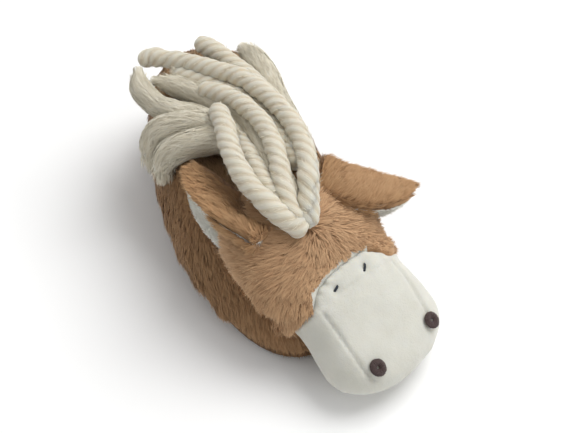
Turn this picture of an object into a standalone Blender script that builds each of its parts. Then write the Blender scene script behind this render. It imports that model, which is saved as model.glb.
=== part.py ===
"""A child's plush horse slipper for the right foot, built from the pieces that it is sewn from.

Frame: the floor is Z = 0, the toe points to -Y and the heel to +Y, and +X is the inner side of the
foot. The origin is on the floor, under the sole and a little behind its middle. All sizes are in
metres.
"""

import math

import bmesh
import bpy
from mathutils import Vector

MM = 0.001
GAP = 0.3 * MM  # the room left between sewn pieces that touch

# The last and the sole
SOLE_LENGTH = 154 * MM
SOLE_AHEAD = 3 * MM  # how far the sole's middle is in front of the origin
BALL_WIDTH = 64 * MM
HEEL_WIDTH = 54 * MM
TOE_SWING = 2.5 * MM  # how far the toe end leans to the inner side of the foot
TOE_SPRING = 2.5 * MM  # how far the toe tip lifts off the floor
FLAT_FRONT = 50 * MM  # how far in front of the origin the sole stays on the floor
SOLE_THICKNESS = 4 * MM
SOLE_MARGIN = 0.8 * MM  # how far the sole's edge stands out past the upper's seam
SOLE_ROUND = 1.2 * MM  # the rounding of the sole's edge
INSOLE_THICKNESS = 4 * MM

# The upper
WALL = 3.5 * MM
COLLAR_ROLL = 6 * MM  # the padded thickness of the wall at the collar's edge
BULGE = 5.5 * MM  # how far the padded wall swells out past the sole
HEEL_HEIGHT = 52 * MM
SIDE_HEIGHT = 48 * MM
INSTEP_HEIGHT = 49 * MM
HEEL_SWEEP = 58  # degrees of a quarter turn that the wall bends through at the heel
TOE_SWEEP = 82  # and at the toe, where it closes over the foot
COLLAR_LENGTH = 70 * MM
COLLAR_WIDTH = 53 * MM
COLLAR_CENTRE = 35 * MM  # how far the collar's middle is behind the origin

# The head, in its own frame: along its nose, across, and up from the floor
HEAD_TURN = 22  # degrees that the nose turns to the inner side of the foot
HEAD_ACROSS = -2.6 * MM  # how far the back of the head is to the inner side of the origin
HEAD_AHEAD = 16.2 * MM  # how far it is in front of the origin
HEAD_LENGTH = 101.5 * MM
HEAD_WIDTH = 68 * MM
HEAD_HEIGHT = 62 * MM
MUZZLE_SEAM = 0.621 * HEAD_LENGTH  # how far along the nose the muzzle's seam is, at its upper corners
SEAM_HEIGHT = 0.58 * HEAD_HEIGHT  # the height of those corners
SEAM_SLOPE = 0.6  # how far the seam runs back for each unit that it runs down
MUZZLE_SKEW = 0.05  # how far the muzzle's outer side is set forward, for each unit across
PATCH_WIDTH = 40 * MM  # the eye patch, a lobe of the muzzle's top that reaches up the brow
PATCH_LENGTH = 6 * MM
PATCH_SQUARE = 0.75  # how square the lobe is (1 is an ellipse, less is squarer)
PIPING = 1 * MM  # the raised seam between the muzzle's top and its sides
NOSTRIL_WIDTH = 8 * MM
NOSTRIL_HEIGHT = 7.6 * MM
NOSTRIL_RAISE = 1 * MM
NOSTRIL_SPACING = 36.5 * MM
NOSTRIL_SHARE = 0.915  # how far along the head, as a share of its length

# The ears
EAR_WIDTH = 44 * MM  # the cloth's width before it is folded along its middle
EAR_ROOT = 0.86  # the width at the root, as a share of the widest
EAR_BLUNT = 2.6  # how blunt the tip is
EAR_FUR = 2.6 * MM
EAR_LINING = 1.4 * MM
EAR_CREASE = 3.6 * MM  # the radius of the fold
EAR_FOLD = 66  # degrees that each half turns through at the fold

# The mane
YARN = 8.8 * MM  # the diameter of one strand
YARN_STEP = 7.5 * MM

# The fur's locks
LOCK_RISE = 2.2 * MM
LOCK_REACH = 4.5 * MM

COLUMNS = 44  # stations around the upper and the sole
UPPER_ROWS = (0, 0.09, 0.19, 0.3, 0.42, 0.54, 0.66, 0.78, 0.9, 1)
INNER_ROWS = (1, 0.8, 0.6, 0.4, 0.2, 0)
AROUND = 32  # points around the head

# The head's sections. Columns: share of the length, half width as a share of half the width,
# top and bottom as shares of the height, how square the section is (2 is an ellipse), how much
# wider it is below than above, and how far it is set towards the inner side, as a share of half
# the width.
HEAD_SECTIONS = (
    (0.00, 0.24, 0.840, 0.720, 2.0, 0.00, 0.00),
    (0.04, 0.53, 0.905, 0.620, 2.1, 0.00, 0.00),
    (0.105, 0.76, 0.960, 0.540, 2.2, 0.00, 0.00),
    (0.185, 0.92, 1.000, 0.460, 2.2, 0.00, 0.00),
    (0.29, 1.00, 0.985, 0.390, 2.2, 0.00, 0.00),
    (0.39, 1.00, 0.915, 0.335, 2.2, 0.00, 0.00),
    (0.475, 0.93, 0.825, 0.275, 2.2, 0.03, 0.00),
    (0.535, 0.87, 0.765, 0.215, 2.3, 0.06, 0.02),
    (0.61, 0.85, 0.705, 0.160, 2.5, 0.10, 0.04),
    (0.69, 0.88, 0.645, 0.110, 2.7, 0.13, 0.05),
    (0.78, 0.92, 0.560, 0.085, 2.8, 0.14, 0.05),
    (0.845, 0.90, 0.500, 0.085, 2.7, 0.13, 0.05),
    (0.90, 0.80, 0.440, 0.100, 2.6, 0.10, 0.05),
    (0.945, 0.64, 0.385, 0.125, 2.4, 0.07, 0.05),
    (0.98, 0.41, 0.335, 0.155, 2.2, 0.03, 0.04),
)

# Each ear: where it is sewn and where its tip is, as shares of half the head's width, of its length
# and of its height, and the way that its fold opens.
EARS = {
    "lateral": ((-0.344, 0.305, 0.850), (-0.480, -0.195, 0.845), (-0.82, -0.55, -0.14)),
    "medial": ((0.732, 0.170, 0.925), (1.466, 0.478, 0.765), (-0.52, -0.75, -0.47)),
}

# Each strand of the mane, from its root to its cut end, in millimetres.
MANE_STRANDS = {
    "crown_medial": (
        (8, -56, 59.5), (11, -48, 65.5), (15, -37.5, 70), (18, -25, 70.5), (20, -10, 68),
        (20, 4, 65.5), (18.5, 17, 63.5), (15.5, 31, 62.5), (11, 44, 62), (6, 56, 62), (0, 66, 61),
    ),
    "crown_long": (
        (7, -56, 59), (10, -48, 66), (14, -38, 71), (17.5, -26, 73), (18.5, -12, 73), (17, 2, 72),
        (13.5, 16, 70.5), (8, 29, 69), (0, 39, 67), (-8, 48.5, 65), (-16, 57, 62.5), (-23, 63, 61),
        (-29, 63, 59),
    ),
    "crown_middle": (
        (5, -55, 59), (2, -50, 65), (3, -38, 70), (6, -22, 72), (7, -6, 71), (5, 6, 70),
        (1, 18, 68), (-5, 27, 66), (-10, 32, 64),
    ),
    "crown_lateral": (
        (6, -57, 59), (-2, -53, 65.5), (-8, -44, 70.5), (-11, -34, 71), (-12, -22, 71.5),
        (-11, -10, 71), (-9, 0, 70), (-8, 9, 68.5), (-8, 16, 67),
    ),
    "under_middle": (
        (1, -46, 66), (-3, -34, 67), (-3, -20, 66), (-3, -6, 63), (-4, 8, 61), (-8, 20, 59),
    ),
    "under_long": (
        (6, -44, 66), (4, -30, 66.5), (4, -15, 65), (4, 0, 63), (1, 14, 62), (-5, 25, 61),
        (-12, 35, 60.5), (-18, 42, 60), (-23, 47, 60),
    ),
    "under_back": (
        (14, -30, 68), (13, -16, 67), (12, -2, 65.5), (10, 10, 64), (5, 22, 63.4), (-2, 34, 61.8),
        (-10, 44, 60.8), (-16, 51, 60),
    ),
    "back_lateral": (
        (-3, -6, 63), (-9, 8, 62), (-15, 19, 61), (-23, 26, 60), (-29, 33, 59), (-32.5, 42, 59),
        (-33, 49, 59), (-32, 54, 60),
    ),
    "side_front": (
        (-3, -8, 63), (-10, 2, 61.5), (-20, 6, 59), (-28, 9, 55.5), (-33.5, 9, 50), (-36.5, 8, 45),
        (-37, 8, 41),
    ),
    "side_back": (
        (-8, 10, 62), (-14, 14, 61), (-23, 18, 59.5), (-30, 21, 57), (-35, 21.5, 52),
        (-38.5, 19, 46), (-39, 17, 41),
    ),
    "back_medial": (
        (15, -24, 69), (19, -8, 65), (21, 8, 61), (22, 22, 59), (23, 35, 59), (22, 47, 59),
        (21, 55, 58.5),
    ),
}


def mix(a, b, share):
    return a + (b - a) * share


def smooth(low, high, value):
    """0 below low, 1 above high, with a smooth step between."""
    share = min(1, max(0, (value - low) / (high - low)))
    return share * share * (3 - 2 * share)


def material(name, colour, roughness):
    made = bpy.data.materials.new(name)
    made.use_nodes = True
    surface = made.node_tree.nodes["Principled BSDF"]
    surface.inputs["Base Color"].default_value = (*colour, 1)
    surface.inputs["Roughness"].default_value = roughness
    surface.inputs["Metallic"].default_value = 0
    made.diffuse_color = (*colour, 1)
    return made


def add_object(name, bm, finish):
    """Makes one named object from a bmesh."""
    bmesh.ops.recalc_face_normals(bm, faces=bm.faces)
    mesh = bpy.data.meshes.new(name)
    bm.to_mesh(mesh)
    bm.free()
    if finish:
        mesh.materials.append(finish)
    made = bpy.data.objects.new(name, mesh)
    bpy.context.scene.collection.objects.link(made)
    return made


def combine(target, other, operation):
    """Applies an exact Boolean to the target and removes the other object."""
    step = target.modifiers.new(operation, "BOOLEAN")
    step.operation = operation
    step.solver = "EXACT"
    step.object = other
    bpy.context.view_layer.update()
    evaluated = target.evaluated_get(bpy.context.evaluated_depsgraph_get())
    mesh = bpy.data.meshes.new_from_object(evaluated)
    target.modifiers.clear()
    target.data = mesh
    bpy.data.objects.remove(other)
    tidy = bmesh.new()
    tidy.from_mesh(mesh)
    bmesh.ops.dissolve_degenerate(tidy, edges=tidy.edges, dist=0.01 * MM)
    tidy.to_mesh(mesh)
    tidy.free()
    return target


def add_ring(bm, points):
    return [bm.verts.new(point) for point in points]


def bridge(bm, first, second):
    """Quads between two rings of the same length."""
    faces = []
    for i in range(len(first)):
        j = (i + 1) % len(first)
        faces.append(bm.faces.new((first[i], first[j], second[j], second[i])))
    return faces


def cap_across(bm, ring):
    """Closes a ring with strips from side to side, so that each strip stays flat."""
    count = len(ring)
    for i in range(count // 2):
        corners = [ring[i], ring[i + 1], ring[count - i - 1], ring[(count - i) % count]]
        bm.faces.new(dict.fromkeys(corners))


# The last


def sole_point(turn):
    """The sole's outline on the plan. Turn 0 is the heel, 0.25 the outer side, 0.5 the toe."""
    angle = 2 * math.pi * turn
    front = (1 - math.cos(angle)) / 2
    half_width = mix(HEEL_WIDTH, BALL_WIDTH, smooth(0.15, 0.7, front)) / 2
    side = math.copysign(abs(math.sin(angle)) ** 0.85, -math.sin(angle))
    along = SOLE_LENGTH / 2 * math.cos(angle) - SOLE_AHEAD
    return Vector((half_width * side + TOE_SWING * front**2, along))


def sole_outline(turn, grow):
    """The same outline moved outwards, and the way that is outwards there."""
    step = 0.002
    along = sole_point(turn + step) - sole_point(turn - step)
    outwards = Vector((along.y, -along.x)).normalized()
    return sole_point(turn) + outwards * grow, outwards


def spring(y):
    """How far the toe spring lifts the sole at a place along it."""
    share = max(0, (-y - FLAT_FRONT) / (SOLE_LENGTH / 2 + SOLE_AHEAD - FLAT_FRONT))
    return TOE_SPRING * share**2


def collar_edge(turn):
    """The top edge of the upper's outer face."""
    angle = 2 * math.pi * turn
    back, front = max(0, math.cos(angle)) ** 2, max(0, -math.cos(angle)) ** 2
    height = SIDE_HEIGHT + (HEEL_HEIGHT - SIDE_HEIGHT) * back + (INSTEP_HEIGHT - SIDE_HEIGHT) * front
    x = -COLLAR_WIDTH / 2 * math.sin(angle)
    y = COLLAR_CENTRE + COLLAR_LENGTH / 2 * math.cos(angle)
    return Vector((x, y, height))


def upper_face(turn, rise):
    """The upper's outer face. Rise 0 is the seam with the sole and 1 the collar's edge."""
    base, outwards = sole_outline(turn, 0)
    front = (1 - math.cos(2 * math.pi * turn)) / 2
    seat = SOLE_THICKNESS + GAP + spring(base.y)
    top = collar_edge(turn)
    sweep = math.radians(mix(HEEL_SWEEP, TOE_SWEEP, smooth(0.3, 0.9, front)))
    lean = (1 - math.cos(rise * sweep)) / (1 - math.cos(sweep))
    lift = math.sin(rise * sweep) / math.sin(sweep)
    swell = BULGE * math.sin(math.pi * rise**0.6)
    plan = base.lerp(top.xy, lean) + outwards * swell
    return Vector((plan.x, plan.y, mix(seat, top.z, lift)))


def upper_normal(turn, rise):
    step = 0.004
    low, high = max(0, rise - step), min(1, rise + step)
    around = upper_face(turn + step, rise) - upper_face(turn - step, rise)
    upwards = upper_face(turn, high) - upper_face(turn, low)
    return around.cross(upwards).normalized()


def wall_at(rise):
    return mix(WALL, COLLAR_ROLL, smooth(0.7, 1, rise))


def upper_form(grow):
    """The whole volume that the upper encloses, grown by a clearance: what lies on it is cut to it."""
    bm = bmesh.new()
    turns = [i / COLUMNS for i in range(COLUMNS)]
    rings = [
        add_ring(bm, [upper_face(t, rise) + upper_normal(t, rise) * grow for t in turns])
        for rise in UPPER_ROWS
    ]
    below = add_ring(bm, [(v.co.x, v.co.y, -SOLE_THICKNESS) for v in rings[0]])
    for low, high in zip([below, *rings], rings):
        bridge(bm, low, high)
    bm.faces.new(below)
    middle = bm.verts.new((0, COLLAR_CENTRE, INSTEP_HEIGHT))
    for i in range(COLUMNS):
        bm.faces.new((rings[-1][i], rings[-1][(i + 1) % COLUMNS], middle))
    return add_object("upper_form", bm, None)


# The head


def head_to_world(across, along, height):
    """A place in the head's own frame, on the plan turned to where the nose points."""
    angle = math.radians(HEAD_TURN)
    x = HEAD_ACROSS + across * math.cos(angle) + along * math.sin(angle)
    y = -HEAD_AHEAD + across * math.sin(angle) - along * math.cos(angle)
    return Vector((x, y, height))


def head_place(shares):
    """A place given as shares of half the head's width, of its length and of its height."""
    across, along, height = shares
    return head_to_world(across * HEAD_WIDTH / 2, along * HEAD_LENGTH, height * HEAD_HEIGHT)


def head_section(share):
    """The head's section at a share of its length, between the rows of the table."""
    share = min(max(share, HEAD_SECTIONS[0][0]), HEAD_SECTIONS[-1][0])
    for low, high in zip(HEAD_SECTIONS, HEAD_SECTIONS[1:]):
        if share <= high[0]:
            between = (share - low[0]) / (high[0] - low[0])
            return [mix(a, b, between) for a, b in zip(low, high)]
    return list(HEAD_SECTIONS[-1])


def head_point(share, angle, grow=0):
    """A place on the head's skin. Angle 0 is the inner side of the foot and 90 degrees the top."""
    share, width, top, bottom, square, pear, shift = head_section(share)
    middle = (top + bottom) / 2 * HEAD_HEIGHT
    half_height = (top - bottom) / 2 * HEAD_HEIGHT + grow
    cosine, sine = math.cos(angle), math.sin(angle)
    upwards = math.copysign(abs(sine) ** (2 / square), sine)
    half_width = width * HEAD_WIDTH / 2 * (1 - pear * upwards) + grow
    across = half_width * math.copysign(abs(cosine) ** (2 / square), cosine)
    across += shift * HEAD_WIDTH / 2
    along = share * HEAD_LENGTH - across * MUZZLE_SKEW * smooth(0.5, 0.75, share)
    return head_to_world(across, along, middle + half_height * upwards)


def head_form(name, grow=0, piping=0):
    """The head and muzzle as one closed form, before the muzzle's seam parts them."""
    bm = bmesh.new()
    seam_share = MUZZLE_SEAM / HEAD_LENGTH
    corners = (AROUND // 8, AROUND * 3 // 8)
    rings = []
    for section in HEAD_SECTIONS:
        raised = piping if section[0] > seam_share else 0
        ring = [
            head_point(section[0], 2 * math.pi * k / AROUND, grow + (raised if k in corners else 0))
            for k in range(AROUND)
        ]
        rings.append(add_ring(bm, ring))
    for first, second in zip(rings, rings[1:]):
        bridge(bm, first, second)
    for ring, end in ((rings[0], -0.012), (rings[-1], 1.0)):
        _, _, top, bottom, _, _, _ = head_section(end)
        tip_along = end * HEAD_LENGTH + math.copysign(grow, end - 0.5)
        tip = bm.verts.new(head_to_world(0, tip_along, (top + bottom) / 2 * HEAD_HEIGHT))
        for i in range(AROUND):
            bm.faces.new((ring[i], ring[(i + 1) % AROUND], tip))
    return add_object(name, bm, None)


def near_head(point, margin):
    """Whether a place is inside the head's form, or within a margin of it."""
    angle = math.radians(HEAD_TURN)
    x, y = point.x - HEAD_ACROSS, point.y + HEAD_AHEAD
    across = x * math.cos(angle) + y * math.sin(angle)
    along = x * math.sin(angle) - y * math.cos(angle)
    if not -margin < along < HEAD_LENGTH + margin:
        return False
    _, width, top, bottom, _, _, _ = head_section(along / HEAD_LENGTH)
    low, high = bottom * HEAD_HEIGHT - margin, top * HEAD_HEIGHT + margin
    return abs(across) < width * HEAD_WIDTH / 2 + margin and low < point.z < high


def near_path(point, path, margin):
    """Whether a place is within a margin of a line through the path's points."""
    places = [Vector(place) for place in path]
    for start, end in zip(places, places[1:]):
        span = end - start
        share = min(1, max(0, (point - start).dot(span) / span.length_squared))
        if (start + span * share - point).length < margin:
            return True
    return False


def near_trim(point):
    """Whether an ear or a strand of the mane lies here, so that no lock may stand up."""
    for root, tip, _ in EARS.values():
        if near_path(point, (head_place(root), head_place(tip)), EAR_WIDTH / 2 + LOCK_REACH):
            return True
    for path in MANE_STRANDS.values():
        if near_path(point, [Vector(place) * MM for place in path], YARN + LOCK_REACH / 2):
            return True
    return False


def muzzle_cutter(grow):
    """What the muzzle's seam parts off: all in front of a slanting plane, and the eye patch."""
    reach = HEAD_LENGTH
    bm = bmesh.new()
    corners = []
    for height in (-reach / 4, reach):
        back = MUZZLE_SEAM - grow + (height - SEAM_HEIGHT) * SEAM_SLOPE
        for across, along in ((-reach, back), (reach, back), (reach, 2 * reach), (-reach, 2 * reach)):
            corners.append(bm.verts.new(head_to_world(across, along, height)))
    bm.faces.new(corners[:4])
    bm.faces.new(corners[4:])
    bridge(bm, corners[:4], corners[4:])
    cutter = add_object("muzzle_front", bm, None)

    bm = bmesh.new()
    half = PATCH_WIDTH / 2 + grow
    steps = 14
    plan = [(half, reach / 2 + MUZZLE_SEAM), (-half, reach / 2 + MUZZLE_SEAM)]
    for i in range(steps + 1):
        angle = math.pi * i / steps
        across = -half * math.copysign(abs(math.cos(angle)) ** PATCH_SQUARE, math.cos(angle))
        plan.append((across, MUZZLE_SEAM - (PATCH_LENGTH + grow) * math.sin(angle) ** PATCH_SQUARE))
    floor, roof = SEAM_HEIGHT - reach / 10 - grow, reach
    low = add_ring(bm, [head_to_world(across, along, floor) for across, along in plan])
    high = add_ring(bm, [head_to_world(across, along, roof) for across, along in plan])
    bridge(bm, low, high)
    bm.faces.new(low)
    bm.faces.new(high)
    return combine(cutter, add_object("patch_lobe", bm, None), "UNION")


# Fur


def grow_locks(bm, faces, flow):
    """Draws each of these faces out into one lock of fur, lying the way that flow gives."""
    for face in faces:
        centre, normal = face.calc_center_median(), face.normal.copy()
        tip = centre + normal * LOCK_RISE + flow(centre, normal) * LOCK_REACH
        made = bmesh.ops.extrude_discrete_faces(bm, faces=[face])["faces"][0]
        for corner in made.verts:
            corner.co = tip + (corner.co - centre) * 0.22


def body_flow(centre, normal):
    """The body's pile lies forwards and down."""
    wanted = Vector((0, -1, -0.9))
    return (wanted - normal * wanted.dot(normal)).normalized()


def head_flow(centre, normal):
    """The head's pile lies down from the crown and back from the muzzle."""
    angle = math.radians(HEAD_TURN)
    wanted = Vector((-0.5 * math.sin(angle), 0.5 * math.cos(angle), -1))
    return (wanted - normal * wanted.dot(normal)).normalized()


# The pieces


def build_outsole(finish):
    bm = bmesh.new()
    edge = (
        (SOLE_MARGIN - SOLE_ROUND, 0),
        (SOLE_MARGIN, SOLE_ROUND),
        (SOLE_MARGIN, SOLE_THICKNESS - SOLE_ROUND / 2),
        (SOLE_MARGIN - SOLE_ROUND / 2, SOLE_THICKNESS),
    )
    rings = []
    for grow, height in edge:
        ring = []
        for i in range(COLUMNS):
            plan, _ = sole_outline(i / COLUMNS, grow)
            ring.append((plan.x, plan.y, height + spring(plan.y)))
        rings.append(add_ring(bm, ring))
    for low, high in zip(rings, rings[1:]):
        bridge(bm, low, high)
    cap_across(bm, rings[0])
    cap_across(bm, rings[-1])
    return add_object("outsole", bm, finish)


def build_insole(finish):
    bm = bmesh.new()
    rings = []
    low = SOLE_THICKNESS + GAP
    for grow, height in ((0, low), (0, low + INSOLE_THICKNESS * 0.7), (-1.5 * MM, low + INSOLE_THICKNESS)):
        ring = []
        for i in range(COLUMNS):
            plan, _ = sole_outline(i / COLUMNS, grow - WALL - 2 * GAP)
            ring.append((plan.x, plan.y, height + spring(plan.y)))
        rings.append(add_ring(bm, ring))
    for first, second in zip(rings, rings[1:]):
        bridge(bm, first, second)
    cap_across(bm, rings[0])
    cap_across(bm, rings[-1])
    return add_object("insole", bm, finish)


def build_upper(finish):
    """One hollow wall from the seam with the sole to a padded roll at the collar."""
    bm = bmesh.new()
    turns = [i / COLUMNS for i in range(COLUMNS)]
    outer = [add_ring(bm, [upper_face(t, rise) for t in turns]) for rise in UPPER_ROWS]
    inner = []
    for rise in INNER_ROWS:
        ring = [upper_face(t, rise) - upper_normal(t, rise) * wall_at(rise) for t in turns]
        inner.append(ring)
    for i, point in enumerate(inner[-1]):
        point.z = upper_face(turns[i], 0).z
    roll = []
    for degrees in (45, 90, 135):
        ring = []
        for i, t in enumerate(turns):
            outside, inside = upper_face(t, 1), inner[0][i]
            centre = (outside + inside) / 2
            upwards = (upper_face(t, 1) - upper_face(t, 0.98)).normalized()
            angle = math.radians(degrees)
            lift = upwards * (outside - inside).length / 2 * math.sin(angle)
            ring.append(centre + (outside - centre) * math.cos(angle) + lift)
        roll.append(add_ring(bm, ring))
    rings = outer + roll + [add_ring(bm, ring) for ring in inner]
    skin = []
    for number, (first, second) in enumerate(zip(rings, rings[1:])):
        faces = bridge(bm, first, second)
        if number < len(outer):
            skin.append(faces)
    bridge(bm, rings[-1], rings[0])
    bm.normal_update()
    bmesh.ops.recalc_face_normals(bm, faces=bm.faces)
    chosen = [
        face
        for row, faces in enumerate(skin)
        for column, face in enumerate(faces)
        if (row + column) % 2 == 0
    ]
    free = []
    for face in chosen:
        centre = face.calc_center_median()
        blocked = near_head(centre, 1.8 * LOCK_REACH) or near_trim(centre)
        if centre.z > 2.1 * LOCK_REACH and not blocked:
            free.append(face)
    grow_locks(bm, free, body_flow)
    return add_object("upper", bm, finish)


def build_head(finish):
    """The stuffed fur head, seated on the upper and open in front for the muzzle."""
    head = head_form("head")
    bm = bmesh.new()
    bm.from_mesh(head.data)
    bm.normal_update()
    crown = HEAD_HEIGHT * 0.8
    chosen = []
    for number, face in enumerate(bm.faces):
        centre = face.calc_center_median()
        row, column = divmod(number, AROUND)
        free = centre.z < crown and face.normal.z > -0.3 and not near_trim(centre)
        if row < 8 and (row + column) % 2 == 0 and free:
            chosen.append(face)
    grow_locks(bm, chosen, head_flow)
    bm.to_mesh(head.data)
    bm.free()
    combine(head, muzzle_cutter(GAP), "DIFFERENCE")
    combine(head, upper_form(GAP), "DIFFERENCE")
    head.data.materials.clear()
    head.data.materials.append(finish)
    return head


def build_muzzle(finish):
    """The stuffed muzzle with its eye patch."""
    muzzle = head_form("muzzle", piping=PIPING)
    combine(muzzle, muzzle_cutter(0), "INTERSECT")
    combine(muzzle, upper_form(GAP), "DIFFERENCE")
    muzzle.data.materials.clear()
    muzzle.data.materials.append(finish)
    return muzzle


def build_nostril(name, side, finish):
    """One embroidered nostril: a low oval pad on the muzzle's front corner."""
    share = NOSTRIL_SHARE
    _, width, _, _, square, _, _ = head_section(share)
    cosine = min(1, NOSTRIL_SPACING / (width * HEAD_WIDTH)) ** (square / 2)
    angle = math.acos(side * cosine)
    centre = head_point(share, angle)
    along = (head_point(share + 0.01, angle) - head_point(share - 0.01, angle)).normalized()
    around = (head_point(share, angle + 0.02) - head_point(share, angle - 0.02)).normalized()
    normal = along.cross(around).normalized()
    if normal.z < 0:
        normal.negate()
    around = normal.cross(along)
    bm = bmesh.new()
    steps = 14
    rings = []
    for size, raised in ((1, -2), (1, 0.5), (0.6, 1)):
        ring = []
        for i in range(steps):
            turn = 2 * math.pi * i / steps
            offset = along * (math.cos(turn) * NOSTRIL_WIDTH / 2)
            offset += around * (math.sin(turn) * NOSTRIL_HEIGHT / 2)
            ring.append(centre + offset * size + normal * (PIPING + NOSTRIL_RAISE * raised))
        rings.append(add_ring(bm, ring))
    for low, high in zip(rings, rings[1:]):
        bridge(bm, low, high)
    bm.faces.new(rings[0])
    bm.faces.new(rings[-1])
    pad = add_object(name, bm, finish)
    return fit_to_head(pad, finish)


def fit_to_head(piece, finish):
    """Cuts a piece to the head's skin, a gap away from it."""
    combine(piece, head_form("head_seat", GAP, PIPING), "DIFFERENCE")
    piece.data.materials.clear()
    piece.data.materials.append(finish)
    return piece


def ear_face(root, tip, opening, along, across, depth):
    """A place on a folded ear: along its length, across its cloth, and out from the fold's inside."""
    axis = (tip - root).normalized()
    opening = (opening - axis * opening.dot(axis)).normalized()
    sideways = axis.cross(opening) * math.copysign(1, across)
    leaf = mix(EAR_ROOT, 1, smooth(0, 0.5, along)) * (0.06 + 0.94 * math.sqrt(1 - along**EAR_BLUNT))
    run = abs(across) * leaf * EAR_WIDTH / 2
    fold = math.radians(EAR_FOLD)
    angle = min(run / EAR_CREASE, fold)
    straight = max(0, run - EAR_CREASE * fold)
    outwards = sideways * math.sin(angle) - opening * math.cos(angle)
    ahead = opening * math.sin(angle) + sideways * math.cos(angle)
    return root.lerp(tip, along) + opening * EAR_CREASE + outwards * (EAR_CREASE + depth) + ahead * straight


def build_ear(name, root, tip, opening, inner, outer, finish):
    """One layer of an ear, from an inner depth to an outer one, cut to the head that it is sewn on."""
    bm = bmesh.new()
    lengths = (0, 0.14, 0.28, 0.42, 0.56, 0.68, 0.79, 0.88, 0.95, 1)
    widths = (-1, -0.75, -0.5, -0.3, -0.15, 0, 0.15, 0.3, 0.5, 0.75, 1)
    layers = []
    for depth in (inner, outer):
        layers.append(
            [add_ring(bm, [ear_face(root, tip, opening, a, b, depth) for b in widths]) for a in lengths]
        )
    for layer in layers:
        for first, second in zip(layer, layer[1:]):
            for i in range(len(widths) - 1):
                bm.faces.new((first[i], first[i + 1], second[i + 1], second[i]))
    low, high = layers
    low_edge = low[0] + [row[-1] for row in low[1:]] + low[-1][-2::-1] + [row[0] for row in low[-2:0:-1]]
    high_edge = high[0] + [row[-1] for row in high[1:]] + high[-1][-2::-1] + [row[0] for row in high[-2:0:-1]]
    bridge(bm, low_edge, high_edge)
    return fit_to_head(add_object(name, bm, finish), finish)


# The mane


def smooth_route(points, step):
    """Places about one step apart on a smooth curve through the points, and the ends themselves."""
    fine = []
    padded = [points[0] * 2 - points[1], *points, points[-1] * 2 - points[-2]]
    for a, b, c, d in zip(padded, padded[1:], padded[2:], padded[3:]):
        for i in range(8):
            t = i / 8
            fine.append(
                (2 * b + (c - a) * t + (2 * a - 5 * b + 4 * c - d) * t**2 + (3 * b - a - 3 * c + d) * t**3)
                / 2
            )
    fine.append(points[-1])
    run = [0]
    for first, second in zip(fine, fine[1:]):
        run.append(run[-1] + (second - first).length)
    count = max(3, round(run[-1] / step))
    route, place = [], 0
    for i in range(count + 1):
        wanted = run[-1] * i / count
        while place < len(run) - 2 and run[place + 1] < wanted:
            place += 1
        share = (wanted - run[place]) / (run[place + 1] - run[place])
        route.append(fine[place].lerp(fine[place + 1], share))
    return route


def strand(name, points, finish):
    """One yarn strand as a closed tube with rounded ends."""
    sides = 7
    route = smooth_route([Vector(point) * MM for point in points], YARN_STEP)
    bm = bmesh.new()
    rings = []
    across = None
    for i, place in enumerate(route):
        ahead = (route[min(i + 1, len(route) - 1)] - route[max(i - 1, 0)]).normalized()
        if across is None:
            across = ahead.cross(Vector((0, 0, 1))).normalized()
        across = (across - ahead * across.dot(ahead)).normalized()
        other = ahead.cross(across)
        radius = YARN / 2 * (0.6 if i in (0, len(route) - 1) else 1)
        ring = []
        for k in range(sides):
            angle = 2 * math.pi * k / sides
            ring.append(place + (across * math.cos(angle) + other * math.sin(angle)) * radius)
        rings.append(add_ring(bm, ring))
    for first, second in zip(rings, rings[1:]):
        bridge(bm, first, second)
    bm.faces.new(rings[0])
    bm.faces.new(rings[-1])
    return add_object(name, bm, finish)


def build_mane(finish):
    """All the strands fused where they are sewn and where they lie on each other."""
    names = list(MANE_STRANDS)
    mane = strand("mane", MANE_STRANDS[names[0]], finish)
    for name in names[1:]:
        combine(mane, strand(name, MANE_STRANDS[name], finish), "UNION")
    return fit_to_head(mane, finish)


def main():
    for old in list(bpy.data.objects):
        bpy.data.objects.remove(old)
    fur = material("brown_fur", (0.40, 0.23, 0.12), 0.9)
    plush = material("cream_plush", (0.78, 0.74, 0.64), 0.85)
    yarn = material("cream_yarn", (0.80, 0.72, 0.55), 0.7)
    thread = material("brown_thread", (0.05, 0.03, 0.025), 0.55)
    lining = material("dark_lining", (0.10, 0.05, 0.03), 0.95)
    sole = material("sole_cloth", (0.20, 0.12, 0.07), 0.9)

    build_outsole(sole)
    build_insole(lining)
    build_upper(fur)
    build_head(fur)
    build_muzzle(plush)
    build_nostril("nostril_lateral", -1, thread)
    build_nostril("nostril_medial", 1, thread)
    for side, (root, tip, opening) in EARS.items():
        root, tip, opening = head_place(root), head_place(tip), Vector(opening)
        build_ear("ear_" + side, root, tip, opening, 0, EAR_FUR, fur)
        build_ear("ear_lining_" + side, root, tip, opening, -GAP - EAR_LINING, -GAP, plush)
    build_mane(yarn)


main()
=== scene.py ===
"""The looks of a child's plush horse slipper: pile, stuffed muzzle, lined ears and a yarn mane."""

import math

import bmesh
import bpy
import numpy as np
from bpy.props import FloatProperty, FloatVectorProperty, IntProperty, PointerProperty
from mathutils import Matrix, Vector
from mathutils.bvhtree import BVHTree
from mathutils.kdtree import KDTree


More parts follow.
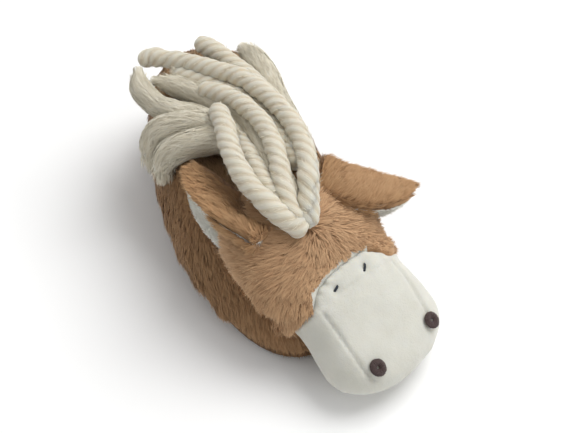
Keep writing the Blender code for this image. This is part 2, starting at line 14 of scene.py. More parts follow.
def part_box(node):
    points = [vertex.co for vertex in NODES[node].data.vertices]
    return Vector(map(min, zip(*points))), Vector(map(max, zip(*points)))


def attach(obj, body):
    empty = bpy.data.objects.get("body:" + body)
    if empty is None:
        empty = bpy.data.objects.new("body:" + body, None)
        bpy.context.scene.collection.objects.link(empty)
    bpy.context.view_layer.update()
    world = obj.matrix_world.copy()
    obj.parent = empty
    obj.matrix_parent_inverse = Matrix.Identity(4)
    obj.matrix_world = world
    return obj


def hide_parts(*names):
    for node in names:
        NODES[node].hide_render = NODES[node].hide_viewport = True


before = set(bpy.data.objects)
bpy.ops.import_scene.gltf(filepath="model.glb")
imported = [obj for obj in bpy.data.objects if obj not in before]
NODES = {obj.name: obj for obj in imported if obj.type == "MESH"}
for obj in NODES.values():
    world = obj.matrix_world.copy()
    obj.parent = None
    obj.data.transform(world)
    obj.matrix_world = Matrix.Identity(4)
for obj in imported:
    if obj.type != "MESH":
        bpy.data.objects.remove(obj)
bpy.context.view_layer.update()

bl_info = {
    "name": "Plush horse slipper",
    "version": (1, 0, 0),
    "blender": (4, 5, 0),
    "location": "3D View > Sidebar > Slipper",
    "description": "Dresses a plush slipper with pile, stitched details and a yarn mane",
    "category": "Object",
}

MM = 0.001


# Sizes and colours


def length(name, default, description):
    return FloatProperty(
        name=name, default=default, min=0, unit="LENGTH", precision=4, description=description
    )


def amount(name, default, description):
    return IntProperty(name=name, default=default, min=10, description=description)


def colour(name, default, description):
    return FloatVectorProperty(
        name=name, default=default, subtype="COLOR", size=3, min=0, max=1, description=description
    )


class SlipperSizes(bpy.types.PropertyGroup):
    """Lengths of the pile and the yarn."""

    body_pile: length("Body pile", 6.2 * MM, "Length of the pile on the upper")
    head_pile: length("Head pile", 7 * MM, "Length of the pile on the head")
    ear_pile: length("Ear pile", 6 * MM, "Length of the pile on the ears")
    nap: length("Nap", 1.95 * MM, "Length of the short nap in the ears")
    hair: length("Hair width", 0.34 * MM, "Width of one tuft of pile at its root")
    yarn: length("Yarn", 8.8 * MM, "Diameter of one strand of the mane")
    twist: length("Twist", 20 * MM, "Length in which the yarn's plies turn once")
    thread: length("Thread", 0.72 * MM, "Diameter of the embroidery thread")
    body_hairs: amount("Body tufts", 62000, "Tufts on each half of the upper")
    head_hairs: amount("Head tufts", 56000, "Tufts on the head")
    ear_hairs: amount("Ear tufts", 17000, "Tufts on the outside of each ear")
    root_hairs: amount("Ear root tufts", 5000, "Tufts inside the root of each ear")
    nap_hairs: amount("Nap tufts", 9000, "Short tufts on the lining of each ear")
    stitches: amount("Nostril stitches", 46, "Threads in each nostril")


class SlipperColours(bpy.types.PropertyGroup):
    """Colours of the cloths and threads."""

    # The fur's root colour is painted shade, for the pile deep near its backing.
    fur_root_shade: colour("Fur root", (0.20, 0.105, 0.05), "The pile near its backing")
    fur: colour("Fur", (0.50, 0.285, 0.145), "The pile along its length")
    fur_tip: colour("Fur tip", (0.70, 0.48, 0.28), "The lighter tips of the pile")
    plush: colour("Plush", (0.64, 0.635, 0.575), "The short cream pile of the muzzle and ears")
    plush_shade: colour("Plush shade", (0.53, 0.52, 0.455), "The cream pile where it lies deep")
    yarn: colour("Yarn", (0.665, 0.64, 0.545), "The mane's yarn")
    yarn_shade: colour("Yarn shade", (0.48, 0.34, 0.165), "The yarn deep between its plies")
    thread: colour("Thread", (0.045, 0.028, 0.026), "The nostrils' embroidery thread")
    eye: colour("Eye thread", (0.012, 0.016, 0.024), "The stitched eyes")
    lining: colour("Lining", (0.085, 0.040, 0.024), "The dark lining and insole")
    sole: colour("Sole", (0.16, 0.095, 0.055), "The sole's cloth")


def sizes():
    return bpy.context.scene.slipper_sizes


def colours():
    return bpy.context.scene.slipper_colours


# Shader maths


class Value:
    """A shader socket that numbers and other sockets can be added to, multiplied with and so on."""

    def __init__(self, shade, socket):
        self.shade = shade
        self.socket = socket

    def _maths(self, operation, *values):
        return self.shade.node("ShaderNodeMath", {"operation": operation}, values)

    def __add__(self, other):
        return self._maths("ADD", self, other)

    def __sub__(self, other):
        return self._maths("SUBTRACT", self, other)

    def __mul__(self, other):
        return self._maths("MULTIPLY", self, other)

    def __truediv__(self, other):
        return self._maths("DIVIDE", self, other)

    def __rsub__(self, other):
        return self._maths("SUBTRACT", other, self)

    __radd__ = __add__
    __rmul__ = __mul__

    def clamp(self):
        return self.shade.node("ShaderNodeClamp", {}, (self, 0.0, 1.0))


class Shade:
    """One material, built from expressions."""

    def __init__(self, name, colour, roughness, sheen=0.0, glow=0.0):
        self.material = bpy.data.materials.new(name)
        self.material.use_nodes = True
        self.tree = self.material.node_tree
        self.surface = self.tree.nodes["Principled BSDF"]
        self.surface.inputs["Base Color"].default_value = (*colour, 1)
        self.surface.inputs["Roughness"].default_value = roughness
        self.surface.inputs["Specular IOR Level"].default_value = 0.25
        self.surface.inputs["Sheen Weight"].default_value = sheen
        self.surface.inputs["Sheen Roughness"].default_value = 0.45
        self.surface.inputs["Subsurface Weight"].default_value = glow
        self.surface.inputs["Subsurface Scale"].default_value = 2.5 * MM
        self.surface.inputs["Subsurface Radius"].default_value = (1.0, 0.8, 0.55)
        self.material.diffuse_color = (*colour, 1)

    def node(self, kind, settings=None, inputs=(), output=0):
        """Adds a node: its settings first, then its sockets by order or by name."""
        made = self.tree.nodes.new(kind)
        for key, value in (settings or {}).items():
            setattr(made, key, value)
        pairs = inputs.items() if isinstance(inputs, dict) else enumerate(inputs)
        for key, value in pairs:
            if isinstance(value, Value):
                self.tree.links.new(value.socket, made.inputs[key])
            else:
                made.inputs[key].default_value = value
        return Value(self, made.outputs[output])

    def place(self):
        """The place on the piece, in metres."""
        return self.node("ShaderNodeTexCoord", output="Object")

    def along(self, name):
        """The two coordinates of a piece's own UV map, and both together."""
        where = self.node("ShaderNodeUVMap", {"uv_map": name})
        parts = self.tree.nodes.new("ShaderNodeSeparateXYZ")
        self.tree.links.new(where.socket, parts.inputs[0])
        return Value(self, parts.outputs[0]), Value(self, parts.outputs[1]), where

    def noise(self, scale, detail=2.0, roughness=0.5, where=None):
        """Noise with about one lump per 1/scale of a metre, or of the unit of the place given."""
        where = where or self.place()
        inputs = {"Vector": where, "Scale": scale, "Detail": detail, "Roughness": roughness}
        return self.node("ShaderNodeTexNoise", {}, inputs)

    def mix(self, share, first, second):
        """The first colour where the share is 0, the second where it is 1."""
        settings = {"data_type": "RGBA", "clamp_factor": True}
        first = first if isinstance(first, Value) else (*first, 1)
        second = second if isinstance(second, Value) else (*second, 1)
        return self.node("ShaderNodeMix", settings, {0: share, 6: first, 7: second}, 2)

    def bump(self, height, distance, strength=1.0):
        inputs = {"Height": height, "Distance": distance, "Strength": strength}
        self.set("Normal", self.node("ShaderNodeBump", {}, inputs))

    def set(self, name, value):
        """Feeds a value into one input of the surface."""
        self.tree.links.new(value.socket, self.surface.inputs[name])


def times(tone, share):
    """A colour made lighter or darker."""
    return [c * share for c in tone]


def pile_material(name, tint=(1, 1, 1), painted_light_above=0):
    """Long pile: painted shade at its roots, with lighter tips, and a tone for each tuft.

    Its colours are multiplied by a tint, which on the body is painted shade, and above the height
    given its tips are painted lighter, as painted light on the top.
    """
    tones = colours()
    fur = [c * d for c, d in zip(tones.fur, tint)]
    tip_tone = [c * d for c, d in zip(tones.fur_tip, tint)]
    shade = Shade(name, fur, 0.62, 0.15)
    tuft, height, _ = shade.along("pile")
    patches = shade.noise(45, 3)
    # Painted shade: the pile is darkest at its roots, deep among the hairs.
    body = shade.mix((height * 2.4).clamp(), tones.fur_root_shade, fur)
    tip = (height * 1.5 - 0.7 + tuft * 0.5).clamp()
    body = shade.mix(tip * (0.3 + patches * 0.7), body, tip_tone)
    body = shade.mix((0.45 - tuft) * 1.1, body, times(fur, 0.55))
    # Painted light: above the given height the pile is lightened towards its tip colour, as on a top
    # that the light falls on.
    if painted_light_above:
        rise = shade.node("ShaderNodeSeparateXYZ", {}, {"Vector": shade.place()}, 2)
        share = ((rise - painted_light_above) / (10 * MM)).clamp() * height
        body = shade.mix(share, body, tones.fur_tip)
    shade.set("Base Color", body)
    return shade.material


def curly_material(shade, curls, dark, light, depth):
    """Curled cloth between two colours, with its curls raised."""
    shade.set("Base Color", shade.mix(curls, dark, light))
    shade.bump(curls, depth)
    return shade.material


def backing_material():
    """The pile's backing, seen only in the partings."""
    fur = colours().fur
    shade = Shade("brown_fur_backing", colours().fur_root_shade, 0.95)
    return curly_material(shade, shade.noise(420, 3, 0.6), times(fur, 0.5), times(fur, 0.85), 0.8 * MM)


def plush_material(name="cream_plush", light=1.0):
    """Short cream pile: soft lumps and a fine nap, with painted shade in their hollows, as light as
    asked for.
    """
    tones = colours()
    # Colours are multiplied by light; a light above 1 is painted light.
    pale, dim = times(tones.plush, light), times(tones.plush_shade, light)
    patch = times((0.66, 0.655, 0.61), light)
    shade = Shade(name, pale, 0.92, 0.3, 0.35)
    lumps = shade.noise(95, 3, 0.55)
    nap = shade.noise(1500, 2, 0.6)
    drift = shade.noise(38, 2)
    # Painted shade: the cream is darker in the hollows of the lumps and nap that the bump raises.
    hollow_shade = (lumps * 1.2 + nap * 0.4 - 0.3).clamp()
    body = shade.mix(hollow_shade, dim, pale)
    shade.set("Base Color", shade.mix(drift * 0.25, body, patch))
    shade.bump(lumps * 0.7 + nap * 0.2, 1.0 * MM, 0.9)
    return shade.material


def nap_material():
    """The nap of the ears' linings, painted darker at its roots as painted shade."""
    shade = Shade("cream_nap", (0.82, 0.81, 0.74), 0.85, 0.3)
    tuft, height, _ = shade.along("pile")
    # Painted shade: the nap is darker at its roots.
    body = shade.mix(height, (0.76, 0.74, 0.66), (0.86, 0.855, 0.79))
    shade.set("Base Color", shade.mix(tuft * 0.5, body, (0.90, 0.89, 0.83)))
    return shade.material


def yarn_material():
    """Twisted yarn: fibres along the plies, partly painted highlight, and warm painted shade between
    them.
    """
    tones = colours()
    shade = Shade("cream_yarn", tones.yarn, 0.72, 0.25, 0.4)
    around, _, where = shade.along("yarn")
    stretched = shade.node("ShaderNodeMapping", {}, {"Vector": where, "Scale": (44, 16, 1)})
    fibres = shade.noise(1.0, 3, 0.6, where=stretched)
    soft = shade.noise(160, 2)
    ply = shade.node("ShaderNodeMath", {"operation": "COSINE"}, (around * (8 * math.pi),))
    # Painted shade: the yarn turns to its shade colour in the grooves between the plies.
    deep = (0.35 - ply * 0.6).clamp()
    body = shade.mix(deep * 0.5, tones.yarn, tones.yarn_shade)
    # Painted highlight, partly fibre grain: the fibres' streaks are painted lighter.
    body = shade.mix((fibres * 1.1 - 0.3).clamp(), body, (0.70, 0.68, 0.60))
    shade.set("Base Color", shade.mix(soft * 0.2, body, tones.yarn_shade))
    shade.bump(fibres, 0.5 * MM, 0.9)
    return shade.material


def fibre_material():
    """The yarn's loose fibres: lighter than the yarn, a tone for each, and painted shade at their roots.
    """
    tones = colours()
    shade = Shade("cream_fibre", tones.yarn, 0.68, 0.25)
    tuft, height, _ = shade.along("pile")
    body = shade.mix(tuft, (0.68, 0.62, 0.48), (0.83, 0.79, 0.67))
    # Painted shade: the fibres darken towards their roots, next to the yarn.
    shade.set("Base Color", shade.mix((0.2 - height) * 1.2, body, tones.yarn_shade))
    return shade.material


def lining_material():
    """The dark, curly cloth inside the shoe."""
    tone = colours().lining
    shade = Shade("dark_lining", tone, 0.96, 0.1)
    return curly_material(shade, shade.noise(520, 4, 0.65), times(tone, 0.5), times(tone, 1.6), 1.0 * MM)


def sole_material():
    """Brown sole cloth with a plain weave."""
    tones = colours()
    shade = Shade("sole_cloth", tones.sole, 0.9)
    warp, weft = (
        shade.node(
            "ShaderNodeTexWave",
            {"bands_direction": way},
            {"Vector": shade.place(), "Scale": 190, "Distortion": 1.0},
            1,
        )
        for way in "XY"
    )
    weave = warp * weft
    scuffs = shade.noise(60, 4, 0.6)
    body = shade.mix(weave, times(tones.sole, 0.6), times(tones.sole, 1.35))
    shade.set("Base Color", shade.mix(scuffs * 0.35, body, (0.26, 0.18, 0.12)))
    shade.bump(weave, 0.3 * MM)
    return shade.material


def thread_material(name, tone):
    """Shiny embroidery thread with one twisted strand along it, whose crests are a painted highlight."""
    shade = Shade(name, tone, 0.42, 0.1)
    across, run, _ = shade.along("thread")
    strand = shade.node("ShaderNodeMath", {"operation": "SINE"}, (across * (2 * math.pi) + run * 40,))
    # Painted highlight: the twisted strand's crests are painted lighter than the thread.
    lighter = [min(1, c * 2.2 + 0.008) for c in tone]
    shade.set("Base Color", shade.mix((strand * 0.5 + 0.3).clamp(), tone, lighter))
    shade.bump(strand, 0.06 * MM)
    return shade.material


# Making and placing pieces


def add_piece(name, mesh, materials, replaced=()):
    """Makes a finished piece that rides with the slipper."""
    made = bpy.data.objects.new(name, mesh)
    bpy.context.scene.collection.objects.link(made)
    for material in materials:
        mesh.materials.append(material)
    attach(made, "root")
    if replaced:
        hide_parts(*replaced)
    return made


def opened(mesh):
    """A mesh's copy that can be edited."""
    bm = bmesh.new()
    bm.from_mesh(mesh)
    bm.normal_update()
    return bm


def merged_copy(node):
    """A CAD node's mesh with its corners joined."""
    bm = opened(NODES[node].data)
    bmesh.ops.remove_doubles(bm, verts=bm.verts, dist=0.002 * MM)
    bm.normal_update()
    return bm


def mesh_from(bm, name, smooth=True, uv_name=None):
    """The finished mesh, with its one UV map named where it has a use."""
    mesh = bpy.data.meshes.new(name)
    bm.to_mesh(mesh)
    bm.free()
    if smooth:
        mesh.shade_smooth()
    if uv_name:
        mesh.uv_layers[0].name = uv_name
    return mesh


def tree_of(*bodies):
    """One search tree of the faces of several CAD nodes or meshes."""
    joined = bmesh.new()
    for body in bodies:
        if isinstance(body, str):
            joined.from_mesh(NODES[body].data)
        else:
            joined.from_mesh(body)
    tree = BVHTree.FromBMesh(joined)
    joined.free()
    return tree


def gaps_to(tree, points):
    """How far each point is from a tree's faces."""
    return np.array([tree.find_nearest(Vector(place))[3] for place in points])


def unit(vectors):
    return vectors / np.maximum(np.linalg.norm(vectors, axis=-1, keepdims=True), 1e-9)


def lay_flat(wanted, normals):
    """The part of each wanted direction that lies in the cloth."""
    wanted = np.broadcast_to(wanted, normals.shape)
    return unit(wanted - normals * (wanted * normals).sum(axis=1, keepdims=True))


def spokes(across, up, angles):
    """Directions at some angles round a middle, given two that are square to each other."""
    return across * np.cos(angles)[:, None] + up * np.sin(angles)[:, None]


def turn_about(vectors, axes, angles):
    """Turns each vector about its own axis, which is square to it."""
    return spokes(vectors, np.cross(axes, vectors), angles)


def scatter(faces, count, rng):
    """Random places on the faces, with the smooth normals there."""
    corners, normals = [], []
    for face in faces:
        ring = list(face.verts)
        for i in range(1, len(ring) - 1):
            three = (ring[0], ring[i], ring[i + 1])
            corners.append([v.co for v in three])
            normals.append([v.normal * 0.6 + face.normal * 0.4 for v in three])
    corners, normals = np.array(corners), np.array(normals)
    edges = corners[:, 1:] - corners[:, :1]
    areas = np.linalg.norm(np.cross(edges[:, 0], edges[:, 1]), axis=1)
    chosen = rng.choice(len(areas), count, p=areas / areas.sum())
    a, b = rng.random(count), rng.random(count)
    flip = a + b > 1
    a[flip], b[flip] = 1 - a[flip], 1 - b[flip]
    weights = np.stack([1 - a - b, a, b], axis=1)[:, :, None]
    return (corners[chosen] * weights).sum(axis=1), unit((normals[chosen] * weights).sum(axis=1))


def swirl(points, size, seed):
    """A slow wave over the piece, between about -1 and 1."""
    rng = np.random.default_rng(seed)
    total = np.zeros(len(points))
    for _ in range(5):
        way = unit(rng.normal(size=3)) / size * rng.uniform(3, 8)
        total += np.sin(points @ way + rng.uniform(0, 6.28))
    return total / 2.6


def bend(roots, normals, flows, lengths, lift, droop, segments):
    """Each hair's points: it rises at its root and lies down towards its tip."""
    points = [roots]
    for k in range(segments):
        angle = lift * (1 - 0.75 * k / max(1, segments - 1))
        way = spokes(flows, normals, angle)
        way[:, 2] -= droop * (k + 1) / segments
        points.append(points[-1] + unit(way) * (lengths / segments)[:, None])
    return np.stack(points, axis=1)


def clump(points, locks, pull, rng):
    """Draws the hairs' tips together into small locks, and says which hair leads each."""
    centres = rng.choice(len(points), max(8, locks), replace=False)
    tree = KDTree(len(centres))
    for i, centre in enumerate(centres):
        tree.insert(points[centre, 0], i)
    tree.balance()
    nearest = centres[[tree.find(root)[1] for root in points[:, 0]]]
    segments = points.shape[1] - 1
    for k in range(1, segments + 1):
        share = (pull * (k / segments) ** 1.6)[:, None]
        points[:, k] += (points[nearest, k] - points[:, k]) * share
    return nearest


def clear_of(points, tree):
    """Shortens hairs that would run into another piece, and says which are still long enough."""
    shortest, spare = 0.25, 0.8
    keep = np.ones(len(points), dtype=bool)
    for i, line in enumerate(points):
        start, end = Vector(line[0]), Vector(line[-1])
        span = end - start
        reach = span.length
        hit = tree.ray_cast(start, span, reach * 1.05)
        if hit[0] is None:
            continue
        share = hit[3] / reach * spare
        if share < shortest:
            keep[i] = False
        else:
            points[i] = line[0] + (line - line[0]) * share
    return keep


def ribbons(name, points, normals, widths, tones, rng, flat=0.5, own=0.25):
    """Joins tapering hairs into one mesh, with a tone and a height for each point of a hair.

    The hairs are turned a little about their own length, by a spread of flat radians. They are shaded
    with the normal of the skin that they lie on and a share of their own.
    """
    count, rows = points.shape[:2]
    ways = unit(np.gradient(points, axis=1))
    sides = unit(np.cross(ways, normals[:, None, :]))
    angles = rng.normal(0, flat, count)
    spun = np.cross(ways, sides)
    sides = sides * np.cos(angles)[:, None, None] + spun * np.sin(angles)[:, None, None]
    taper = np.array([1 - 0.55 * (k / (rows - 1)) ** 1.5 for k in range(rows - 1)])
    half = widths[:, None] * taper[None, :] / 2
    left = points[:, :-1] - sides[:, :-1] * half[..., None]
    right = points[:, :-1] + sides[:, :-1] * half[..., None]
    pairs = np.stack([left, right], axis=2).reshape(count, -1, 3)
    verts = np.concatenate([pairs, points[:, -1:]], axis=1)
    each = 2 * (rows - 1) + 1
    quads = [(2 * k, 2 * k + 1, 2 * k + 3, 2 * k + 2) for k in range(rows - 2)]
    tip = (each - 3, each - 2, each - 1)
    pattern = np.array([corner for face in quads + [tip] for corner in face])
    loops = (pattern[None, :] + np.arange(count)[:, None] * each).ravel()
    sides_of = np.tile([4] * len(quads) + [3], count)
    starts = np.concatenate([[0], np.cumsum(sides_of)[:-1]])
    mesh = bpy.data.meshes.new(name)
    mesh.vertices.add(count * each)
    mesh.vertices.foreach_set("co", verts.reshape(-1).astype(np.float32))
    mesh.loops.add(len(loops))
    mesh.loops.foreach_set("vertex_index", loops.astype(np.int32))
    mesh.polygons.add(len(sides_of))
    mesh.polygons.foreach_set("loop_start", starts.astype(np.int32))
    mesh.update(calc_edges=True)
    heights = np.array([k // 2 / (rows - 1) for k in range(each - 1)] + [1.0])
    values = np.stack([np.repeat(tones, len(pattern)), np.tile(heights[pattern], count)], axis=1)
    layer = mesh.uv_layers.new(name="pile")
    layer.uv.foreach_set("vector", values.reshape(-1).astype(np.float32))
    mesh.shade_smooth()
    faced = np.cross(sides, ways)
    faced = unit(normals[:, None, :] + own * faced)
    skin = np.concatenate([np.repeat(faced[:, :-1], 2, axis=1), faced[:, -1:]], axis=1)
    mesh.normals_split_custom_set_from_vertices(skin.reshape(-1, 3))
    return mesh


def at_each(wanted, points):
    """A value that is the same everywhere or a function of the place."""
    return wanted(points) if callable(wanted) else wanted


def grow_pile(
    name, faces, count, long, flow, lift, droop, obstacles, seed, width, lock=0, ruffle=1
):
    """Pile on some faces of a cloth.

    Its length and the way it lies are the same everywhere or functions of the place. Each hair rises
    at its root by lift radians, sinks by droop and stays clear of the obstacles. With a lock of so
    many hairs, their tips lean together.
    """
    rng = np.random.default_rng(seed)
    roots, normals = scatter(faces, count, rng)
    turns = 0.55 * ruffle * swirl(roots, 0.05, seed) + rng.normal(0, 0.16, count)
    flows = turn_about(lay_flat(at_each(flow, roots), normals), normals, turns)
    lengths = at_each(long, roots) * rng.uniform(0.65, 1.2, count)
    lifts = lift * (1 + 0.3 * ruffle * swirl(roots, 0.02, seed + 1)) + rng.normal(0, 0.14, count)
    points = bend(roots - normals * 0.4 * MM, normals, flows, lengths, lifts, droop, 2)
    tones = np.clip(rng.normal(0.5, 0.2, count), 0, 1)
    if lock:
        pull = np.clip(rng.normal(0.36, 0.2, count), 0, 0.85)
        nearest = clump(points, count // lock, pull, rng)
        tones = np.clip(tones + (rng.random(count)[nearest] - 0.5) * 0.4, 0, 1)
    keep = clear_of(points, obstacles)
    widths = width * rng.uniform(0.75, 1.25, count)
    return ribbons(name, points[keep], normals[keep], widths[keep], tones[keep], rng)


# The camera and the floor


class SLIPPER_OT_stage(bpy.types.Operator):
    """Sets the camera, the soft lights and the pale floor"""

    bl_idname = "slipper.stage"
    bl_label = "Stage"

    def execute(self, context):
        scene = context.scene
        eye = Vector((-0.13631, -0.37449, 0.47495))
        level = (-eye).to_track_quat("-Z", "Y")
        pan = Vector((0, 0, -1)).rotation_difference(Vector((0.0333, 0.0083, -1)))
        data = bpy.data.cameras.new("photo_camera")
        data.lens = 81.8
        data.sensor_width = 36
        data.clip_start = 0.01
        camera = bpy.data.objects.new("photo_camera", data)
        camera.location = eye
        camera.rotation_euler = (level @ pan).to_euler()
        scene.collection.objects.link(camera)
        scene.camera = camera
        bm = bmesh.new()
        bmesh.ops.create_grid(bm, x_segments=2, y_segments=2, size=4)
        mesh = mesh_from(bm, "floor", False)
        mesh.materials.append(Shade("floor_paper", (0.93, 0.93, 0.925), 0.9).material)
        floor = bpy.data.objects.new("floor", mesh)
        scene.collection.objects.link(floor)
        lamps = (
            ("softbox_top", (0.60, 0.15, 1.10), 13),
            ("softbox_front", (0.60, -1.1, 0.7), 3),
            ("softbox_side", (-1.0, 0.5, 0.8), 1),
        )
        for name, place, power in lamps:
            lamp = bpy.data.lights.new(name, "AREA")
            lamp.size = 0.9
            lamp.energy = power
            made = bpy.data.objects.new(name, lamp)
            made.location = place
            made.rotation_euler = (-Vector(place)).to_track_quat("-Z", "Y").to_euler()
            scene.collection.objects.link(made)
        world = bpy.data.worlds.new("studio")
        world.use_nodes = True
        background = world.node_tree.nodes["Background"]
        background.inputs["Color"].default_value = (1, 1, 1, 1)
        background.inputs["Strength"].default_value = 0.5
        scene.world = world
        scene.view_settings.view_transform = "Standard"
        return {"FINISHED"}


# The body


def is_inside(face, tree):
    """Whether a face of the upper looks into the foot's room."""
    start = face.calc_center_median() + face.normal * 0.2 * MM
    hit = tree.ray_cast(start, face.normal, 0.3)
    return hit[0] is not None and hit[3] > 12 * MM


class SLIPPER_OT_upper(bpy.types.Operator):
    """Dresses the upper in long pile outside and dark lining inside"""

    bl_idname = "slipper.upper"
    bl_label = "Upper"

    def execute(self, context):
        values = sizes()
        bm = merged_copy("upper")
        walls = tree_of("upper", "insole")
        inside = [face for face in bm.faces if is_inside(face, walls)]
        for face in inside:
            face.material_index = 1
        chosen = set(inside)
        # The CAD's cut locks are softened, and the cloth is puffed out to where their crests were, so
        # that the pile has an even skin to grow on.
        free = [v for v in bm.verts if v.co.z > 7 * MM and chosen.isdisjoint(v.link_faces)]
        axes = {"use_axis_x": True, "use_axis_y": True, "use_axis_z": True}
        for _ in range(4):
            bmesh.ops.smooth_vert(bm, verts=free, factor=0.5, **axes)
        bm.normal_update()
        puff = 1.2 * MM
        for vert in free:
            vert.co += vert.normal * puff
        bm.normal_update()
        outside = [f for f in bm.faces if f not in chosen and f.calc_center_median().z > 4.6 * MM]
        obstacles = tree_of("head", "muzzle", "ear_lateral", "ear_medial", "mane", "ear_lining_lateral")
        near = tree_of("head", "muzzle")
        # The body's pile is painted darker by its tint, as painted shade, and painted lighter above 42
        # mm, as painted light on its top.
        pile = pile_material("brown_fur_body", (0.64, 0.58, 0.50), 42 * MM)

        def open_air(face):
            """Whether pile has room on a face, away from the head sewn on it."""
            centre = face.calc_center_median()
            found = near.find_nearest(centre + face.normal * 1.5 * MM, 2.5 * MM)
            return found[0] is None

        grown = [f for f in outside if open_air(f)]
        forwards_down = np.array([0.0, -1.0, -0.9])
        halves = (
            ("upper_pile_lateral", [f for f in grown if f.calc_center_median().x < 0.001], 11),
            ("upper_pile_medial", [f for f in grown if f.calc_center_median().x >= 0.001], 12),
        )

        def length_of(points):
            low = np.clip(points[:, 2] / (14 * MM), 0.65, 1)
            rim = np.clip((60 * MM - points[:, 2]) / (16 * MM), 0.55, 1)
            return values.body_pile * low * rim

        for name, faces, seed in halves:
            mesh = grow_pile(
                name, faces, values.body_hairs, length_of, forwards_down, 0.42, 0.15, obstacles,
                seed, values.hair, ruffle=0.55,
            )
            add_piece(name, mesh, [pile])
        shell = mesh_from(bm, "upper_shell", False)
        add_piece("upper_shell", shell, [backing_material(), lining_material()], ["upper"])
        return {"FINISHED"}


class SLIPPER_OT_sole(bpy.types.Operator):
    """Gives the sole and the insole their cloth"""

    bl_idname = "slipper.sole"
    bl_label = "Sole and insole"

    def execute(self, context):
        for node, material in (("outsole", sole_material()), ("insole", lining_material())):
            NODES[node].data.materials.clear()
            NODES[node].data.materials.append(material)
        return {"FINISHED"}


# The head


def stuffed(node, voxel, cap):
    """A padded copy of a CAD node: remeshed, then blown up as cloth by no more than the cap.

    It starts a little smaller than the node.
    """
    bm = merged_copy(node)
    for vert in bm.verts:
        vert.co -= vert.normal * cap * 0.15
    mesh = mesh_from(bm, node + "_padding", False)
    made = bpy.data.objects.new(node + "_padding", mesh)
    bpy.context.scene.collection.objects.link(made)
    remesh = made.modifiers.new("remesh", "REMESH")
    remesh.mode = "VOXEL"
    remesh.voxel_size = voxel
    smooth = made.modifiers.new("smooth", "SMOOTH")
    smooth.iterations = 3
    smooth.factor = 0.5
    settle(made)
    before = np.array([v.co for v in made.data.vertices])
    cloth = made.modifiers.new("cloth", "CLOTH")
    cloth.settings.use_pressure = True
    cloth.settings.uniform_pressure_force = 3
    cloth.settings.effector_weights.gravity = 0
    cloth.settings.quality = 5
    scene = bpy.context.scene
    for number in range(1, 16):
        scene.frame_set(number)
    settle(made)
    after = np.array([v.co for v in made.data.vertices])
    move = after - before
    far = np.linalg.norm(move, axis=1, keepdims=True)
    after = before + move * np.minimum(1, cap / np.maximum(far, 1e-9))
    made.data.vertices.foreach_set("co", after.reshape(-1).astype(np.float32))
    scene.frame_set(1)
    mesh = made.data
    bpy.data.objects.remove(made)
    return mesh


def settle(made):
    """Applies an object's modifiers."""
    graph = bpy.context.evaluated_depsgraph_get()
    mesh = bpy.data.meshes.new_from_object(made.evaluated_get(graph))
    made.modifiers.clear()
    made.data = mesh


def subdivided(mesh, name):
    """The mesh with one subdivision applied."""
    made = bpy.data.objects.new(name, mesh)
    bpy.context.scene.collection.objects.link(made)
    step = made.modifiers.new("subdivision", "SUBSURF")
    step.levels = step.render_levels = 1
    settle(made)
    mesh = made.data
    mesh.name = name
    bpy.data.objects.remove(made)
    mesh.shade_smooth()
    return mesh


# How far the head is turned from the shoe's length, the ways along and across it, and the place where
# the mane is sewn on.
HEAD_TURN = math.radians(22)
NOSE = np.array([math.sin(HEAD_TURN), -math.cos(HEAD_TURN), 0.0])
ACROSS = np.array([math.cos(HEAD_TURN), math.sin(HEAD_TURN), 0.0])
BROW = np.array([0.009, -0.054, 0.058])


def head_flow(points):
    """The head's pile is combed away from the brow, where the mane is sewn on, and down."""
    away = points - BROW
    away[:, 2] *= 0.5
    return unit(away) + np.array([0.0, 0.0, -0.45])


class SLIPPER_OT_head(bpy.types.Operator):
    """Stuffs the head and dresses it in long pile"""

    bl_idname = "slipper.head"
    bl_label = "Head"

    def execute(self, context):
        values = sizes()
        mesh = stuffed("head", 2.2 * MM, 1.0 * MM)
        seat = tree_of("muzzle", "upper")
        bm = opened(mesh)
        muzzle = tree_of("muzzle")
        grown = []
        # Cream plush shows beside the muzzle's upper edge, and nothing grows where the head is sewn on.
        for face in bm.faces:
            centre = face.calc_center_median()
            above = centre.z > 32 * MM and centre.dot(Vector(ACROSS)) < 6 * MM
            if above and muzzle.find_nearest(centre, 1.9 * MM)[0] is not None:
                face.material_index = 1
            elif seat.find_nearest(centre + face.normal * 1.0 * MM, 1.1 * MM)[0] is None:
                grown.append(face)
        obstacles = tree_of("mane")

        def length_of(points):
            """Shorter pile beside the muzzle, and shortest round its upper lobe."""
            far = gaps_to(muzzle, points)
            lobe = np.clip((points[:, 2] - 32 * MM) / (8 * MM), 0, 1)
            return values.head_pile * np.clip(0.9 - 0.7 * lobe + far / (15 * MM), 0.26, 1)

        pile = grow_pile(
            "head_pile", grown, values.head_hairs, length_of, head_flow, 0.6, 0.2, obstacles, 21,
            values.hair, 60,
        )
        add_piece("head_pile", pile, [pile_material("brown_fur_head")])
        bm.to_mesh(mesh)
        bm.free()
        mesh.name = "head_padding"
        mesh.shade_smooth()
        cloths = [backing_material(), plush_material()]
        made = add_piece("head_padding", mesh, cloths, ["head"])
        return {"FINISHED"}


# The muzzle

# Each seam's route, its depth and its half width, in millimetres.
SEAMS = (
    (((3, -82.5, 38.5), (6.5, -93.5, 34.5), (10, -103, 29), (13, -109, 24), (18, -113, 18)), 0.9, 0.8),
    (((37, -70.5, 40), (41, -69, 39), (45, -76, 35), (48, -87, 29), (50.5, -96.5, 22)), 0.8, 0.8),
    (((3.5, -83, 39), (8.5, -81, 41), (16, -79, 42), (24, -76, 42), (36.5, -71, 40.5)), 0.6, 1.1),
)


def distance_to(points, line):
    """How far each point is from a line, and which share of the line's pieces lies before it."""
    best = np.full(len(points), 1.0)
    along = np.zeros(len(points))
    for i, (start, end) in enumerate(zip(line, line[1:])):
        span = end - start
        share = np.clip(((points - start) @ span) / max(span @ span, 1e-12), 0, 1)
        gap = np.linalg.norm(points - (start + share[:, None] * span), axis=1)
        nearer = gap < best
        best[nearer] = gap[nearer]
        along[nearer] = (i + share[nearer]) / (len(line) - 1)
    return best, along


